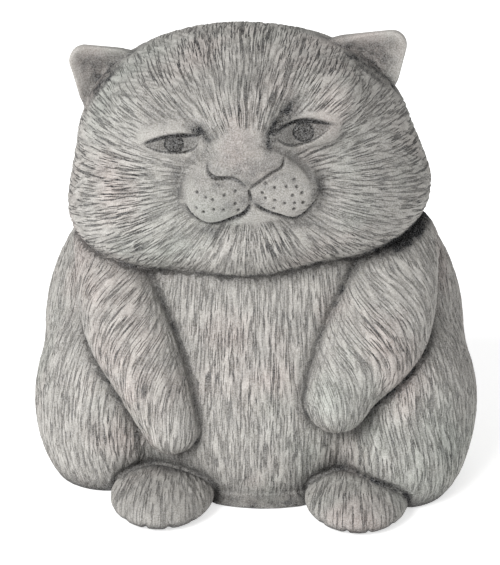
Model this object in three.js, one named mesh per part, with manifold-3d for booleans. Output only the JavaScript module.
// A seated fat cat, cast in one piece of stone: a broad scowling head, arms hanging over the belly,
// round haunches, two short hind feet and a tail laid round the back, with combed fur tooled all over.
// Millimetres, +Z up, the cat faces -Y, and the origin is the middle of its footprint.
import * as THREE from "three";
import { mergeVertices } from "three/addons/utils/BufferGeometryUtils.js";
import Module from "manifold-3d";

// Driving dimensions, in millimetres
const HEIGHT = 200;
const FUR_LENGTH = 20;
const FUR_WIDTH = 3;
const FUR_DEPTH = 1.5;
const LINE_WIDTH = 2.5;
const LINE_DEPTH = 1.7;
const WHISKER_HOLE = 2.2;
const IRIS_WIDTH = 9.2;
const IRIS_LINE = 1.6;
const IRIS_DEPTH = 0.9;
const EAR_THICKNESS = 10;

// Pose and proportions are shares of the height, written in hundredths of it
const SHARE = HEIGHT / 100;
const HEAD_MIDDLE = [-2.2, -10, 73.5];
const HEAD_ROLL = 5;
const HEAD_TURN = -1;
const NOSE_OFFSET = 2;
const EYE_OFFSET = 0.7;

// How finely each form is meshed, and how many strokes of fur it carries
const HEAD_DETAIL = 8;
const TRUNK_DETAIL = 8;
const HEAD_STROKES = 96;
const TRUNK_STROKES = 118;
const ARM_STROKES = 32;

const wasm = await Module();
wasm.setup();

// A point from hundredths of the height
const at = (x, y, z) => new THREE.Vector3(x, y, z).multiplyScalar(SHARE);

// Joins two distances with a fillet of the given size, so that the forms run into each other
function join(a, b, fillet) {
  const near = Math.max(fillet - Math.abs(a - b), 0) / fillet;
  return Math.min(a, b) - near * near * fillet * 0.25;
}

// Distance fields: each maker returns a function of a point, negative inside the form.
// An ellipsoid, leaning by some degrees in the plane of the face
function ellipsoid(centre, radii, lean = 0) {
  const c = at(...centre);
  const r = at(...radii);
  const cos = Math.cos(THREE.MathUtils.degToRad(lean));
  const sin = Math.sin(THREE.MathUtils.degToRad(lean));
  return (p) => {
    const dx = p.x - c.x;
    const dy = p.y - c.y;
    const dz = p.z - c.z;
    const x = (dx * cos - dz * sin) / r.x;
    const y = dy / r.y;
    const z = (dx * sin + dz * cos) / r.z;
    const k = Math.hypot(x, y, z);
    const slope = Math.hypot(x / r.x, y / r.y, z / r.z);
    return (k * (k - 1)) / Math.max(slope, 1e-9);
  };
}

// A limb is a smooth curve through points, with a radius that changes smoothly along it
const LIMB_STEPS = 12;
function limb(points, radii) {
  const curve = new THREE.CatmullRomCurve3(points.map((p) => at(...p)), false, "centripetal");
  const widths = new THREE.SplineCurve(radii.map((r, i) => new THREE.Vector2(i, r * SHARE)));
  const radius = (t) => widths.getPoint(t).y;
  const spine = curve.getPoints(LIMB_STEPS);
  const pieces = spine.slice(1).map((end, i) => new THREE.Line3(spine[i], end));
  const nearest = new THREE.Vector3();
  const field = (p) => Math.min(...pieces.map((piece, i) => {
    const t = piece.closestPointToPointParameter(p, true);
    return piece.at(t, nearest).distanceTo(p) - radius((i + t) / LIMB_STEPS);
  }));
  return { curve, radius, field };
}

// The head stands in a frame of its own, rolled and turned a little
const headFrame = new THREE.Matrix4().makeRotationFromEuler(new THREE.Euler(
  0,
  THREE.MathUtils.degToRad(-HEAD_ROLL),
  THREE.MathUtils.degToRad(HEAD_TURN),
  "ZYX",
));
headFrame.setPosition(at(...HEAD_MIDDLE));

const SKULL = ellipsoid([-0.5, 1, 0], [36.5, 28, 26]);
const CROWN_SIDE = ellipsoid([-8, 2, 8], [25, 22, 16.2]);
const CHEEK = ellipsoid([18, -3, -9.5], [21.5, 23, 15.5]);
const CHIN = ellipsoid([0.5, -11, -15.5], [17, 16, 10]);
const BROW = ellipsoid([12.2, -17.6, 12], [12, 7.4, 5.2], 8);
const SOCKET = ellipsoid([13, -31, 6.6], [8.5, 5, 4], 6);
const EYEBALL = ellipsoid([13.3, -21.2, 6.9], [8, 5.5, 4.2]);
const BRIDGE = ellipsoid([0, -23.4, 6], [9.4, 8.4, 12]);
const MUZZLE = ellipsoid([0, -21.5, -4], [14.5, 9.5, 9.5]);
const PAD = ellipsoid([6.8, -25.6, -4.2], [8, 7, 6.3]);
const NOSE = ellipsoid([0, -26.6, 1.9], [9.2, 6.8, 4.8]);

// Both halves of a face as one, with the crease between them softened
const mirrored = (x, softness) => Math.hypot(x, softness * SHARE);

// The head without its ears, in the head's frame
function skullAndFace(q) {
  const pair = q.clone();
  pair.x = mirrored(q.x, 3);
  const face = q.clone();
  face.x -= NOSE_OFFSET * SHARE;
  const pads = face.clone();
  pads.x = mirrored(face.x, 0.6);
  const eyes = q.clone();
  eyes.x = mirrored(q.x - EYE_OFFSET * SHARE, 0.6);
  let d = join(SKULL(q), CROWN_SIDE(q), 5 * SHARE);
  d = join(d, CHEEK(pair), 5 * SHARE);
  d = join(d, CHIN(q), 5 * SHARE);
  d = join(d, BROW(eyes), 9 * SHARE);
  d = -join(-d, SOCKET(eyes), 4 * SHARE);
  d = join(d, BRIDGE(face), 5 * SHARE);
  d = join(d, MUZZLE(face), 3 * SHARE);
  d = join(d, PAD(pads), SHARE);
  d = join(d, NOSE(face), 2.2 * SHARE);
  return join(d, EYEBALL(eyes), 0.5 * SHARE);
}

const TORSO = ellipsoid([-0.8, 1, 29], [47.5, 33.5, 44]);
const SEAT = ellipsoid([0, 0, 14], [45, 33, 26]);
const BELLY = ellipsoid([0, -10, 18], [30, 28.5, 31]);
const HAUNCH = ellipsoid([32, -11, 16], [17.4, 24, 24]);
const KNEE = ellipsoid([32, -20, 9], [14, 21, 14]);
const RIM = ellipsoid([2, -12, 0.5], [24, 26, 3]);
const RIGHT_ARM = limb(
  [[-31, -12, 52], [-27, -26, 38], [-21, -32.5, 27], [-17, -35.5, 18]],
  [9, 9.5, 8, 6.2],
);
const LEFT_ARM = limb(
  [[29.4, -11, 51], [26.5, -25, 37], [20, -32.5, 28], [18, -35.5, 24]],
  [10.8, 11.3, 8.2, 6.8],
);
const TAIL = limb(
  [[-8, 23, 28], [-1, 30, 14], [12, 32, 7], [26, 27.5, 6], [36, 18, 5.5]],
  [6, 7, 7, 6.6, 5.6],
);
const FOOT_RADII = [11, 16.1, 4.8];
const FEET = [[-19, -36.5, 2.9], [22.5, -37, 2.9]];

// The trunk with its haunches, before arms, feet and tail are added
function trunk(p) {
  const pair = p.clone();
  pair.x = mirrored(p.x, 3);
  let d = join(TORSO(p), SEAT(p), 6 * SHARE);
  d = join(d, BELLY(p), 5 * SHARE);
  d = join(d, HAUNCH(pair), 3 * SHARE);
  d = join(d, KNEE(p), 3 * SHARE);
  return join(d, RIM(p), SHARE);
}
const footFields = FEET.map((middle) => ellipsoid(middle, FOOT_RADII));

// The point of a form's surface that lies from the middle along a direction
function surfacePoint(field, middle, direction) {
  let reach = 70 * SHARE;
  const p = new THREE.Vector3();
  for (let step = 0; step < 60; step++) {
    const d = field(p.copy(middle).addScaledVector(direction, reach));
    reach -= 0.85 * d;
    if (Math.abs(d) < 0.002 * SHARE) break;
  }
  return p;
}

// The outward direction of a form at a point
function outward(field, p) {
  const step = 0.3 * SHARE;
  const here = field(p);
  const slope = ["x", "y", "z"].map((axis) => {
    const q = p.clone();
    q[axis] += step;
    return field(q) - here;
  });
  return new THREE.Vector3(...slope).normalize();
}

// A closed mesh as a solid that can be joined and cut
function solid(geometry) {
  geometry.deleteAttribute("normal");
  geometry.deleteAttribute("uv");
  const merged = mergeVertices(geometry, 1e-4);
  return new wasm.Manifold(new wasm.Mesh({
    numProp: 3,
    vertProperties: merged.attributes.position.array,
    triVerts: new Uint32Array(merged.index.array),
  }));
}

// A bar of the given number of sides, each of whose points is placed by a function of how far
// along it is and where it stands in the cross section
function bentBar(sides, steps, place) {
  const bar = new THREE.CylinderGeometry(1, 1, 1, sides, steps);
  const position = bar.attributes.position;
  for (let i = 0; i < position.count; i++) {
    const v = place(0.5 - position.getY(i), position.getX(i), position.getZ(i));
    position.setXYZ(i, v.x, v.y, v.z);
  }
  return solid(bar);
}

// The solid of a limb: rings along its curve, then a few that close each end as half a ball
const LIMB_SIDES = 10;
const LIMB_RINGS = 11;
const END_RINGS = 3;
function limbSolid({ curve, radius }) {
  const across = new THREE.Vector3();
  const up = new THREE.Vector3();
  const reference = new THREE.Vector3(1, 0, 0.3).normalize();
  return bentBar(LIMB_SIDES, LIMB_RINGS, (t, x, y) => {
    const ring = Math.round(t * LIMB_RINGS);
    const fromEnd = Math.min(ring, LIMB_RINGS - ring, END_RINGS);
    const angle = (0.03 + 0.97 * (fromEnd / END_RINGS)) * (Math.PI / 2);
    const along = THREE.MathUtils.clamp((ring - END_RINGS) / (LIMB_RINGS - 2 * END_RINGS), 0, 1);
    const forward = curve.getTangent(along);
    up.crossVectors(forward, reference).normalize();
    across.crossVectors(up, forward);
    const width = radius(along) * Math.sin(angle);
    return curve.getPoint(along)
      .addScaledVector(forward, radius(along) * Math.cos(angle) * Math.sign(t - 0.5))
      .addScaledVector(across, x * width)
      .addScaledVector(up, y * width);
  });
}

// A geodesic ball drawn out to the surface of a form; its faces crowd towards one direction
function sculpt(field, middle, detail, towards, crowding) {
  const ball = new THREE.IcosahedronGeometry(1, detail);
  const position = ball.attributes.position;
  const direction = new THREE.Vector3();
  for (let i = 0; i < position.count; i++) {
    direction.fromBufferAttribute(position, i).addScaledVector(towards, crowding).normalize();
    position.setXYZ(i, ...surfacePoint(field, middle, direction));
  }
  return solid(ball);
}

const FRONT = new THREE.Vector3(0, -1, 0);
const headMiddle = at(0, -2, -2);
const trunkMiddle = at(0, -4, 26);
const skullSolid = sculpt(skullAndFace, headMiddle, HEAD_DETAIL, FRONT, 0.36);
const trunkSolid = sculpt(trunk, trunkMiddle, TRUNK_DETAIL, FRONT, 0.1);
const footSolids = FEET.map((middle) => {
  const ball = new THREE.SphereGeometry(1, 14, 9);
  ball.rotateX(Math.PI / 2);
  ball.scale(...at(...FOOT_RADII).toArray());
  ball.translate(...at(...middle).toArray());
  return solid(ball);
});

// An ear: a thick triangular flap with a round tip, hollowed in front.
// It is set by its two roots and its tip in the head's frame.
const EAR_ROUND = 6;
function earSolid(inner, outer, tip) {
  const [a, b, c] = [inner, outer, tip].map((p) => at(...p));
  const root = a.clone().add(b).multiplyScalar(0.5);
  const across = a.clone().sub(b).normalize();
  const front = new THREE.Vector3().crossVectors(across, c.clone().sub(root)).normalize();
  if (front.y > 0) front.negate();
  const rise = new THREE.Vector3().crossVectors(front, across);
  const flat = (p) => {
    const offset = p.clone().sub(root);
    return new THREE.Vector2(offset.dot(across), offset.dot(rise));
  };
  const top = flat(c);
  const sunk = [a, b].map((p) => flat(p).sub(top).multiplyScalar(1.35).add(top));
  const cut = EAR_ROUND * SHARE;
  const [first, second] = sunk.map((p) => p.clone().sub(top).setLength(cut).add(top));
  const flap = new THREE.Shape([sunk[0], first]);
  flap.quadraticCurveTo(top.x, top.y, second.x, second.y);
  flap.lineTo(sunk[1].x, sunk[1].y);
  const bevel = EAR_THICKNESS * 0.3;
  const plate = new THREE.ExtrudeGeometry(flap, {
    depth: EAR_THICKNESS - 2 * bevel,
    bevelThickness: bevel,
    bevelSize: bevel * 0.6,
    bevelOffset: -bevel * 0.6,
    bevelSegments: 2,
    curveSegments: 5,
  });
  plate.translate(0, 0, bevel - EAR_THICKNESS / 2);
  const hollow = new THREE.SphereGeometry(1, 12, 8);
  const middle = top.clone().multiplyScalar(0.36);
  hollow.scale(a.distanceTo(b) * 0.34, top.length() * 0.52, EAR_THICKNESS * 0.85);
  hollow.rotateZ(-Math.atan2(top.x, top.y) * 0.7);
  hollow.translate(middle.x, middle.y, EAR_THICKNESS * 0.8);
  const place = new THREE.Matrix4().makeBasis(across, rise, front).setPosition(root);
  return solid(plate).subtract(solid(hollow)).transform(place.elements);
}
const earSolids = [
  earSolid([-17, 1, 21.2], [-33.5, 1, 6], [-37.2, 0, 25.1]),
  earSolid([19, 1, 21.6], [31.4, 1, 5], [37.5, 0, 22.5]),
];

// A tapering V groove along a chain of points on a form
function groove(field, points, width, depth) {
  const steps = points.length - 1;
  const frames = points.map((p, i) => {
    const along = points[Math.min(i + 1, steps)].clone().sub(points[Math.max(i - 1, 0)]).normalize();
    const out = outward(field, p);
    const across = new THREE.Vector3().crossVectors(out, along).normalize();
    return { p, out, across };
  });
  return bentBar(4, steps, (t, x, y) => {
    const { p, out, across } = frames[Math.round(t * steps)];
    const full = 0.12 + 0.88 * Math.sin(Math.PI * t) ** 0.6;
    return p.clone()
      .addScaledVector(across, x * full * width * 0.5)
      .addScaledVector(out, y * full * depth);
  });
}

// A fur stroke: a long flat octahedron sunk into the surface along the lie of the fur
function stroke(p, out, lie, length) {
  const across = new THREE.Vector3().crossVectors(out, lie).normalize();
  const gem = new THREE.OctahedronGeometry(1);
  gem.applyMatrix4(new THREE.Matrix4().makeBasis(
    lie.clone().multiplyScalar(length * 0.62),
    across.multiplyScalar(FUR_WIDTH * 0.62),
    out.clone().multiplyScalar(FUR_DEPTH * 1.5),
  ).setPosition(p.clone().addScaledVector(out, FUR_DEPTH * 0.4)));
  return gem;
}

// Directions spread evenly over a ball by the golden angle
function* evenDirections(count) {
  for (let i = 0; i < count; i++) {
    const z = 1 - (2 * i + 1) / count;
    const angle = i * Math.PI * (3 - Math.sqrt(5));
    const flat = Math.sqrt(1 - z * z);
    yield new THREE.Vector3(Math.cos(angle) * flat, Math.sin(angle) * flat, z);
  }
}

// Fur on the head runs away from the nose, over the crown and down the back
function headLie(q) {
  const from = at(NOSE_OFFSET, -27, 1);
  return q.clone().sub(from).setY((q.y - from.y) * 0.6);
}
const bareFace = ellipsoid([NOSE_OFFSET, -28, 0], [17, 12, 12]);
const earRoots = [ellipsoid([-27, 0, 17], [14, 9, 13]), ellipsoid([27, 0, 16], [13, 9, 13])];
const headBottom = at(0, 0, -21).z;

// Fur on the trunk runs down, and a little outwards over the belly; on an arm it runs along it
function trunkLie(p) {
  return new THREE.Vector3(p.x * 0.25, 0, -60 * SHARE);
}
function armLie(arm) {
  return () => arm.curve.getPoint(1).sub(arm.curve.getPoint(0));
}
const underHead = ellipsoid([-2, -8, 72], [42, 34, 30]);
const ground = 4 * SHARE;

// All the strokes of one form, each where the surface is open and fairly even
function strokes(field, middle, count, lieOf, isBare) {
  const cutters = [];
  for (const even of evenDirections(count)) {
    const direction = even.addScaledVector(FRONT, 0.3).normalize();
    const p = surfacePoint(field, middle, direction);
    if (isBare(p)) continue;
    const out = outward(field, p);
    const lie = lieOf(p);
    lie.addScaledVector(out, -lie.dot(out)).normalize();
    const ends = [-0.4, 0.4].map((t) => field(p.clone().addScaledVector(lie, t * FUR_LENGTH)));
    if (Math.max(...ends.map(Math.abs)) > 1.6 * FUR_DEPTH) continue;
    cutters.push(solid(stroke(p, out, lie, FUR_LENGTH)));
  }
  return cutters;
}

const headBare = (q) => bareFace(q) < 0 || q.z < headBottom || earRoots.some((root) => root(q) < 0);
const arms = [RIGHT_ARM, LEFT_ARM];
const offTrunk = (p) => p.z < ground || underHead(p) < 0
  || arms.some((arm) => arm.field(p) < 0) || footFields.some((foot) => foot(p) < 0);
const PAW_BARE = 8 * SHARE;
const paws = arms.map((arm) => arm.curve.getPoint(1));
const offArm = (p) => underHead(p) < 0 || trunk(p) < 2 * SHARE
  || paws.some((paw) => paw.distanceTo(p) < PAW_BARE);
const headCuts = strokes(skullAndFace, headMiddle, HEAD_STROKES, headLie, headBare);
const trunkCuts = strokes(trunk, trunkMiddle, TRUNK_STROKES, trunkLie, offTrunk);
const armCuts = arms.map((arm) => strokes(
  arm.field, arm.curve.getPoint(0.55), ARM_STROKES, armLie(arm), offArm,
));

// Lines of the face, given across and up in the head's frame and laid on its surface
function faceChain(points, steps = points.length + 1) {
  const curve = new THREE.CatmullRomCurve3(points.map(([x, z]) => new THREE.Vector3(x, 0, z)));
  return curve.getSpacedPoints(steps).map((c) => {
    const p = at(c.x, -45, c.z);
    for (let step = 0; step < 60; step++) p.y += 0.8 * skullAndFace(p);
    return p;
  });
}
const faceLines = [];
function line(points, width = LINE_WIDTH, depth = LINE_DEPTH) {
  faceLines.push(groove(skullAndFace, faceChain(points), width, depth));
}
// Upper lid, lower lid and frown of each eye
line([[-19.4, 6.8], [-15.5, 8.4], [-11.9, 8.8], [-8.4, 8.3], [-5.8, 9.6]]);
line([[-18.6, 6.2], [-15.4, 5], [-11.4, 4.4], [-8.2, 5.8]]);
line([[-12, 14.5], [-9.3, 12], [-7, 10.6]]);
line([[8.2, 8], [11, 9.4], [14.7, 9.8], [17.6, 9.2], [20.2, 8.1]]);
line([[9, 6.6], [11.6, 4.8], [14.6, 4.6], [18.6, 7]]);
line([[15, 16], [11.2, 12.8], [8, 10.4]]);
// Wings of the nose, the line below it, and the mouth under each pad
for (const side of [-1, 1]) {
  const across = (points) => points.map(([x, z]) => [NOSE_OFFSET + side * x, z]);
  line(across([[7.9, 3], [7.2, 0.9], [4.4, 0.2], [2, -1], [0.6, -2.8]]));
  line(across([[0.6, -6.6], [3, -9], [7.4, -10.4], [11, -9.2], [13.4, -6.4]]));
}
line([[2.2, -2.6], [2.4, -4.6], [2.4, -6.8]]);

// A hole or a ring stands where a line through its middle meets the face
const onFace = (x, z) => faceChain([[x, z], [x, z + 0.01]], 1)[0];

// Whisker holes on each pad
const WHISKERS = [[4.6, -3], [8, -2.6], [10.6, -4.4], [4, -6], [7.4, -6.6], [10.4, -7]];
for (const side of [-1, 1]) {
  for (const [x, z] of WHISKERS) {
    const hole = new THREE.SphereGeometry(WHISKER_HOLE / 2, 5, 3);
    hole.translate(...onFace(NOSE_OFFSET + side * x, z).toArray());
    faceLines.push(solid(hole));
  }
}

// The iris of each eye is ringed by a line: a rod sunk a little into the eye, less a thinner one
// that is longer at both ends
const IRISES = [[-12.6, 6.8], [14, 7.2]];
function faceRod([x, z], radius, inside, outside) {
  const rod = new THREE.CylinderGeometry(radius, radius, inside + outside, 12);
  rod.translate(0, (inside - outside) / 2, 0);
  rod.translate(...onFace(x, z).toArray());
  return solid(rod);
}
for (const place of IRISES) {
  const ring = faceRod(place, IRIS_WIDTH / 2, IRIS_DEPTH, IRIS_WIDTH / 2);
  const core = faceRod(place, IRIS_WIDTH / 2 - IRIS_LINE, 2 * IRIS_DEPTH, IRIS_WIDTH);
  faceLines.push(ring.subtract(core));
}

// Toes: grooves over the front of each foot
const TOES = 4;
const TOE_PITCH = 4.6;
const toeCuts = FEET.map(([middle], foot) => Array.from({ length: TOES }, (_, i) => {
  const x = middle + (i - (TOES - 1) / 2) * TOE_PITCH;
  const chain = [6, 4.6, 3.2, 1.6, 0.2].map((z) => {
    const p = at(x, -60, z);
    for (let step = 0; step < 60; step++) p.y += 0.8 * footFields[foot](p);
    return p;
  });
  return groove(footFields[foot], chain, LINE_WIDTH, LINE_DEPTH);
}));

// Each form takes its own carving before they are joined, so that no groove runs under another.
// The head is moved into the cat's frame.
const carve = (form, cuts) => form.subtract(wasm.Manifold.union(cuts));
const head = carve(wasm.Manifold.union([skullSolid, ...earSolids]), [...headCuts, ...faceLines]);
const whole = wasm.Manifold.union([
  carve(trunkSolid, trunkCuts),
  ...arms.map((arm, i) => carve(limbSolid(arm), armCuts[i])),
  limbSolid(TAIL),
  ...footSolids.map((foot, i) => carve(foot, toeCuts[i])),
  head.transform(headFrame.elements),
]);

// The underside is cut flat where the cat sits on the ground
const below = new THREE.BoxGeometry(4 * HEIGHT, 4 * HEIGHT, HEIGHT);
below.translate(0, 0, -HEIGHT / 2);
// and only the outer surface is kept, so a groove that another form covers leaves no hollow
const seated = whole.subtract(solid(below)).decompose()
  .reduce((a, b) => (a.volume() > b.volume() ? a : b));

// Back to a three.js geometry, with the origin under the middle of the footprint
function toGeometry(manifold) {
  const mesh = manifold.getMesh();
  const vertices = new Float32Array(mesh.numVert * 3);
  for (let i = 0; i < mesh.numVert; i++) {
    const start = i * mesh.numProp;
    vertices.set(mesh.vertProperties.subarray(start, start + 3), i * 3);
  }
  const geometry = new THREE.BufferGeometry();
  geometry.setAttribute("position", new THREE.BufferAttribute(vertices, 3));
  geometry.setIndex(new THREE.BufferAttribute(mesh.triVerts, 1));
  geometry.computeBoundingBox();
  const { min, max } = geometry.boundingBox;
  geometry.translate(-(min.x + max.x) / 2, -(min.y + max.y) / 2, -min.z);
  geometry.computeVertexNormals();
  return geometry;
}

const stone = new THREE.MeshStandardMaterial({ color: 0xb4b1a9, roughness: 0.9, metalness: 0 });
const cat = new THREE.Mesh(toGeometry(seated), stone);
cat.name = "cat_statue";
const group = new THREE.Group();
group.add(cat);

export default group;
